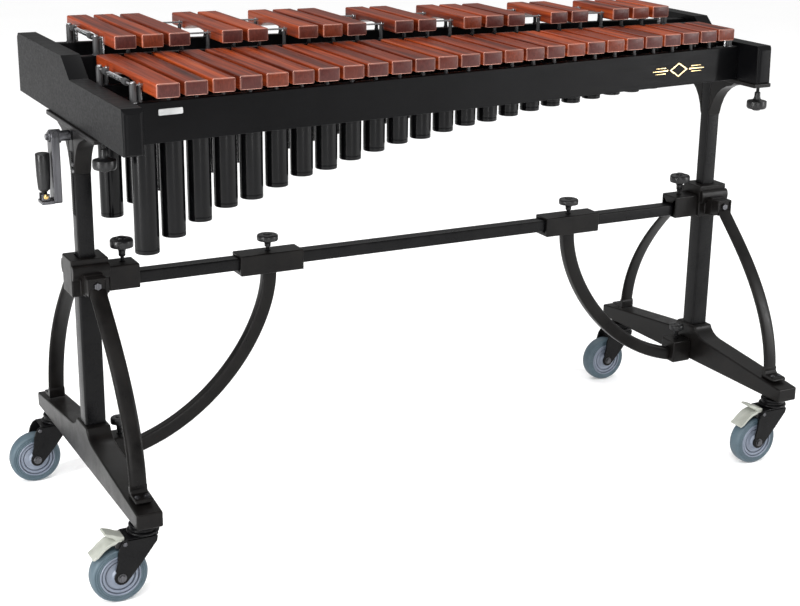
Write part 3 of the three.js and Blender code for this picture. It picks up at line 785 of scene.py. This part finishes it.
# ---------- bars, cords and their posts ----------
def bar(name, spec, tone, node):
    """One bar: a flat top with eased edges, and a tuned arch cut underneath."""
    length = spec["rear"] - spec["front"]
    half = BAR_WIDTH / 2
    top, under = spec["top"], spec["top"] - BAR_THICK
    deep = 11.5 if length > 230 else 9.0

    def section(rise, inset):
        """Right round the bar at one station, in (X, Z)."""
        t, u, h = top - inset, under + rise + inset * 0.6, half - inset
        edge = 2.6
        points = []
        for k in range(5):
            angle = math.radians(90 * k / 4)
            points.append((h - edge + edge * math.sin(angle), t - edge + edge * math.cos(angle)))
        points.append((h, u + 1.6))
        points.append((h - 1.6, u))
        left = [(-px, pz) for px, pz in reversed(points)]
        return points + left + [(-half * 0.45, t), (0.0, t), (half * 0.45, t)]

    stations = [(0.0, 0.0, 2.0), (0.6, 0.0, 0.6), (2.0, 0.0, 0.0), (6.0, 0.0, 0.0)]
    count = 14
    inner = length * (0.5 - NODE_RATIO) - 6
    for k in range(count + 1):
        share = -1 + 2 * k / count
        y = length / 2 + share * inner
        stations.append((y, deep * (1 - share * share) ** 0.75 if abs(share) < 1 else 0.0, 0.0))
    stations += [(length - y, rise, inset) for y, rise, inset in reversed(stations[:4])]
    bm = bmesh.new()
    loft(bm, [[(spec["x"] + px, spec["front"] + y, pz) for px, pz in section(rise, inset)]
              for y, rise, inset in stations])
    publish(name, bm, "keyboard", "rosewood", [node], sharp=30, tone=tone)


def bar_rows():
    for label, row in (("natural", naturals), ("raised", sharps)):
        for i, spec in enumerate(row):
            bar(f"{label}_bar_{i + 1:02d}", spec, random.random(), f"{label}_bars")


def cord_post(steel, rubber, x, y, base, cord_z):
    """A bent steel post with a rubber sleeve that keeps the bars off it."""
    sleeve = [(3.9, base), (3.9, base + 3.0), (3.3, base + 3.6), (3.3, cord_z - 4.2), (3.0, cord_z - 3.4)]
    turn(rubber, sleeve, (x, y, 0), "z", 12)
    turn(steel, [(1.5, base), (1.5, cord_z - 1.8)], (x, y, 0), "z", 8)
    hook = [(x, y - 2.6 * math.cos(a), cord_z + 2.6 * math.sin(a)) for a in
            (math.radians(-80 + 250 * k / 12) for k in range(13))]
    tube_path(steel, hook, 1.0, 6)


def coil_spring(bm, start, end, r=3.2, wire=0.65, turns=24):
    """A close-wound wire spring between two points."""
    start, end = Vector(start), Vector(end)
    along = (end - start).normalized()
    side = along.cross(Vector((0, 0, 1))).normalized()
    up = side.cross(along)
    steps = turns * 10
    points = []
    for k in range(steps + 1):
        t = k / steps
        a = 2 * math.pi * turns * t
        points.append(start.lerp(end, t) + side * r * math.cos(a) + up * r * math.sin(a))
    tube_path(bm, points, wire, 5)


def suspension(label, row, rails, first, last):
    """A row's two cords, the posts between its bars, and the spring that tightens them at the low end."""
    top = row[0]["top"]
    cord_z = top - BAR_THICK / 2
    steel, rubber, cord = bmesh.new(), bmesh.new(), bmesh.new()
    xs = [b["x"] for b in row]
    places = [x - PITCH / 2 for x in xs]
    for a, b in zip(xs, xs[1:]):
        if b - a > PITCH * 1.5:
            places.append(a + PITCH / 2)
    places.append(xs[-1] + PITCH / 2)
    ends = []
    for share, base in zip((NODE_RATIO, 1 - NODE_RATIO), (RAIL_TOP[rail] for rail in rails)):
        line = nodal_line(row, share)
        for x in sorted(places):
            cord_post(steel, rubber, x, line(x), base, cord_z)
        for x, inward in ((first, 1), (last, -1)):
            at = (x, line(x), 0)
            turn(rubber, [(6.4, base), (6.4, base + 2.2), (5.6, base + 3.0), (5.6, cord_z + 2.4),
                          (5.0, cord_z + 3.2)], at, "z", 24)
            turn(steel, [(4.4, cord_z + 3.0), (4.4, cord_z + 4.6), (3.4, cord_z + 5.6)], at, "z", 20)
            turn(steel, [(7.6, base + 0.1), (7.6, base + 0.9), (6.0, base + 1.3)], at, "z", 24)
            near = x + inward * 12.0
            guide = [(2.8, base), (2.8, cord_z + 1.2), (2.2, cord_z + 2.0)]
            turn(steel, guide, (near, line(near), 0), "z", 16)
        along = [first + (last - first) * k / 40 for k in range(41)]
        tube_path(cord, [(x, line(x), cord_z) for x in along], CORD_R)
        ends.append((first, line(first)))
        ends.append((last, line(last)))
    (x0, y0), (x1, y1), (x2, y2), (x3, y3) = ends
    tube_path(cord, [(x1, y1, cord_z), (x3, y3, cord_z)], CORD_R)
    mid = (y0 + y2) / 2
    spring_a, spring_b = (x0, mid - 34, cord_z), (x2, mid + 34, cord_z)
    tube_path(cord, [(x0, y0, cord_z), spring_a], CORD_R)
    tube_path(cord, [spring_b, (x2, y2, cord_z)], CORD_R)
    coil_spring(steel, spring_a, spring_b)
    for x, y in ((x0, mid - 52), (x2, mid + 52)):
        turn(rubber, [(4.6, -8.0), (5.4, -7.0), (5.4, 7.0), (4.6, 8.0)], (x, y, cord_z), "y", 20)
    publish(f"{label}_cord_posts", steel, "keyboard", "steel", sharp=50)
    publish(f"{label}_post_sleeves", rubber, "keyboard", "rubber", sharp=40)
    publish(f"{label}_cord", cord, "keyboard", "cord", sharp=60)


bar_rows()
PAST_LAST = PITCH * 0.62
suspension("natural", naturals, ("front_rail", "inner_natural_rail"), -633.0, naturals[-1]["x"] + PAST_LAST)
suspension("raised", sharps, ("inner_raised_rail", "rear_rail"), -606.0, sharps[-1]["x"] + PAST_LAST)


# ---------- resonators ----------
def resonator(name, spec, node):
    """One glossy tube with a rolled top lip and a pressed stop cap at the bottom."""
    r, top, bottom = spec["r"], spec["top"], spec["bottom"]
    wall = 1.5
    profile = [(0.02, bottom), (r - 2.4, bottom), (r - 0.9, bottom + 0.5), (r - 0.15, bottom + 1.6),
               (r - 0.1, bottom + 6.6), (r - 0.7, bottom + 7.2), (r - 0.7, bottom + 7.9),
               (r - 0.1, bottom + 8.5), (r, bottom + 12), (r, top - 0.5), (r - 0.5, top),
               (r - wall, top - 0.3), (r - wall, bottom + 3), (0.02, bottom + 3)]
    bm = bmesh.new()
    turn(bm, profile, (spec["x"], spec["y"], 0), "z", 36)
    publish(name, bm, "keyboard", "tube", [node], sharp=32)


def resonator_strap(name, tubes, node):
    """The two straight flat straps that hold a row of tubes."""
    bm = bmesh.new()
    first, last = tubes[0], tubes[-1]
    slope = (last["y"] - first["y"]) / (last["x"] - first["x"])
    for way in (-1, 1):
        rings = []
        for x in (first["x"] - 30, last["x"] + 30):
            y = first["y"] + slope * (x - first["x"]) + way * 3.2
            rings.append([(x, y - 0.8, 802), (x, y + 0.8, 802), (x, y + 0.8, 812), (x, y - 0.8, 812)])
        loft(bm, rings)
    publish(name, bm, "keyboard", "steel_black", [node], 0.3, 1)


for label, tubes in (("natural", natural_tubes), ("raised", raised_tubes)):
    for i, spec in enumerate(tubes):
        resonator(f"{label}_tube_{i + 1:02d}", spec, f"{label}_resonators")
    resonator_strap(f"{label}_tube_strap", tubes, f"{label}_resonators")


# ---------- crank ----------
def crank():
    """A flat arm on the winding shaft, and the fork and brass pivot that hold the folding handle."""
    a, b = box_mm("crank_arm")
    grip_a, grip_b = box_mm("crank_handle")
    z0, half, foot = b.z - 12, (b.y - a.y) / 2, a.z
    pin_x = (grip_a.x + grip_b.x) / 2
    arm_out = grip_b.x + 1
    arm_in = arm_out + 14
    bm = bmesh.new()
    head = [math.radians(15 * k) for k in range(13)]
    outline = [(half * math.cos(angle), z0 - 2 + half * math.sin(angle)) for angle in head]
    for cy, start in ((-half + 5, 180), (half - 5, 270)):
        for k in range(7):
            angle = math.radians(start + 15 * k)
            outline.append((cy + 5 * math.cos(angle), foot + 5 + 5 * math.sin(angle)))
    loft(bm, [[(x, y, z) for y, z in outline] for x in (arm_out, arm_in)])
    publish("crank_arm_bar", bm, "crank", "arm", ["crank_arm"], 1.5, 3)
    clevis = bmesh.new()
    block(clevis, (pin_x - 8, arm_out + 0.5), (-half, half), (foot, foot + 6))
    for way in (-1, 1):
        block(clevis, (pin_x - 7, pin_x + 7), tuple(sorted((way * 6.4, way * 9.4))), (foot + 4, foot + 17.5))
    publish("crank_clevis", clevis, "crank", "arm", (), 1.2, 3)
    shaft = bmesh.new()
    hub_at = (0, 0, z0)
    axle = [(9, -BLOCK_OUTER - 0.4), (9, arm_in + 4.5), (11.8, arm_in + 4), (11.8, arm_in)]
    turn(shaft, axle, hub_at, "x", 36)
    turn(shaft, [(9.2, arm_out), (9.2, arm_out - 1.6), (8.6, arm_out - 2.4)], hub_at, "x", 36)
    hexagon(shaft, 5.8, arm_out - 6.2, arm_out - 2.0, hub_at, "x")
    publish("crank_shaft", shaft, "crank", "arm")
    brass = bmesh.new()
    for way in (-1, 1):
        button = [(4.2, way * 9.4), (4.2, way * 11.0), (3.0, way * 11.8)]
        turn(brass, button, (pin_x, 0, foot + 12.8), "y", 24)
    publish("crank_pivot", brass, "crank", "brass")


def crank_handle():
    """The turned grip, and the ferrule that joins it to the pivot."""
    a, b = box_mm("crank_handle")
    at = ((a.x + b.x) / 2, (a.y + b.y) / 2, 0)
    base, top, r = a.z, b.z, (b.x - a.x) / 2
    grip = bmesh.new()
    turn(grip, [(4.0, base + 15), (8.6, base + 15.2), (9.7, base + 16.2), (10.2, base + 19),
                (r * 0.96, base + 40), (r, top - 14), (r, top - 2.2), (r - 0.7, top - 0.7), (r - 2.2, top),
                (0.02, top)], at, "z", 48)
    publish("crank_grip_moulding", grip, "crank_grip", "plastic", ["crank_handle"], sharp=40)
    ferrule = bmesh.new()
    turn(ferrule, [(4.0, base + 0.4), (4.4, base + 2), (4.4, base + 12.6), (6.6, base + 13.0),
                   (6.6, base + 15.2)], at, "z", 28)
    publish("crank_ferrule", ferrule, "crank_grip", "steel_black")


crank()
crank_handle()


# ---------- small fittings ----------
def fascia_frame(x):
    """A point on the front board's face at x, the way along the face, and the way out of it."""
    line = nodal_line(naturals, NODE_RATIO)
    y, further = line(x) - OUTER_RAIL_HALF, line(x + 10) - OUTER_RAIL_HALF
    along = Vector((10, further - y, 0)).normalized()
    return Vector((x, y, 0)), along, Vector((along.y, -along.x, 0))


def on_fascia(bm, x, z, outline, depths):
    """A flat plate on the front board, with its middle at x and z."""
    at, along, out = fascia_frame(x)
    loft(bm, [[at + along * u + out * d + Vector((0, 0, z + v)) for u, v in outline] for d in depths])


def blank_label():
    bm = bmesh.new()
    on_fascia(bm, -574.0, 798.5, rounded(21.0, 5.0, 2.0, 4), (-0.3, 0.8))
    publish("blank_label", bm, "keyboard", "label", (), 0.3, 2)


def ornament():
    """A plain gilt line ornament: a lozenge between two sets of tapering bars."""
    bm = bmesh.new()

    def flat(outline):
        on_fascia(bm, 488.0, 781.0, outline, (-0.2, 0.35))

    half, tall = 23.0, 13.5
    outer = [(half, 0), (0, tall), (-half, 0), (0, -tall)]
    inner = [(half - 5.0, 0), (0, tall - 2.4), (-half + 5.0, 0), (0, -tall + 2.4)]
    for i in range(4):
        j = (i + 1) % 4
        flat([outer[i], outer[j], inner[j], inner[i]])
    for way in (-1, 1):
        for near, far, v, thin in ((27, 66, 0.0, 1.5), (33, 58, 5.4, 0.9), (33, 58, -5.4, 0.9)):
            flat([(way * near, v - thin), (way * far, v - thin * 0.3), (way * far, v + thin * 0.3),
                  (way * near, v + thin)])
    publish("fascia_ornament", bm, "keyboard", "gold")


blank_label()
ornament()


def side_bolt():
    """The washer and bolt head on the right end block's outer face."""
    bm = bmesh.new()
    at = (BLOCK_OUTER, -128, 790)
    turn(bm, [(6.5, 0), (6.5, 1.4), (5.8, 2.0)], at, "x", 28)
    turn(bm, [(4.2, 1.8), (4.2, 5.0), (3.2, 6.2)], at, "x", 28)
    publish("right_block_bolt", bm, "keyboard", "steel")


side_bolt()


# ---------- floor and light ----------
def surroundings():
    mesh = bpy.data.meshes.new("floor")
    bm = bmesh.new()
    corners = [bm.verts.new(p) for p in ((-60, -60, 0), (60, -60, 0), (60, 60, 0), (-60, 60, 0))]
    bm.faces.new(corners)
    bm.to_mesh(mesh)
    bm.free()
    t = Tree("floor_pale", Specular_IOR_Level=0.05, Emission_Color=(1, 1, 1, 1), Emission_Strength=0.14)
    t.colour(t.ramp(t.noise(1.5, 2.0), (0.3, (0.93, 0.93, 0.93)), (0.7, (0.95, 0.95, 0.95))))
    t.roughness(t.span(t.noise(6.0, 2.0), 0.85, 0.95))
    mesh.materials.append(t.material)
    floor = bpy.data.objects.new("floor", mesh)
    scene.collection.objects.link(floor)

    world = bpy.data.worlds.new("studio")
    world.use_nodes = True
    tree = world.node_tree
    background = tree.nodes["Background"]
    direction = tree.nodes.new("ShaderNodeTexCoord")
    split = tree.nodes.new("ShaderNodeSeparateXYZ")
    sky = tree.nodes.new("ShaderNodeValToRGB")
    stops = ((0.0, 0.12), (0.25, 0.16), (0.55, 0.75), (1.0, 1.0))
    while len(sky.color_ramp.elements) < len(stops):
        sky.color_ramp.elements.new(0.5)
    for element, (place, grey) in zip(sky.color_ramp.elements, stops):
        element.position = place
        element.color = (grey, grey, grey, 1)
    tree.links.new(direction.outputs["Generated"], split.inputs["Vector"])
    tree.links.new(split.outputs["Z"], sky.inputs["Fac"])
    tree.links.new(sky.outputs["Color"], background.inputs["Color"])
    background.inputs["Strength"].default_value = 1.15
    scene.world = world


def lamp(name, at, target, size, power):
    data = bpy.data.lights.new(name, "AREA")
    data.shape = "RECTANGLE"
    data.size, data.size_y = size
    data.energy = power
    light = bpy.data.objects.new(name, data)
    place = Vector(at)
    light.rotation_euler = (Vector(target) - place).to_track_quat("-Z", "Y").to_euler()
    light.location = place
    scene.collection.objects.link(light)


surroundings()
lamp("key", (-1.6, -2.4, 3.4), (0, 0, 0.5), (1.4, 1.4), 66)
lamp("left_strip", (-3.6, -0.9, 1.3), (0, 0, 0.6), (0.22, 2.6), 150)
lamp("front_strip", (-0.9, -4.2, 1.2), (0, 0, 0.6), (0.14, 2.4), 60)
lamp("right_strip", (3.2, -2.6, 1.4), (0, 0, 0.5), (0.3, 2.4), 110)
lamp("back", (0.6, 2.4, 3.4), (0, 0, 0.6), (2.6, 0.8), 22)
scene.view_settings.view_transform = "Standard"
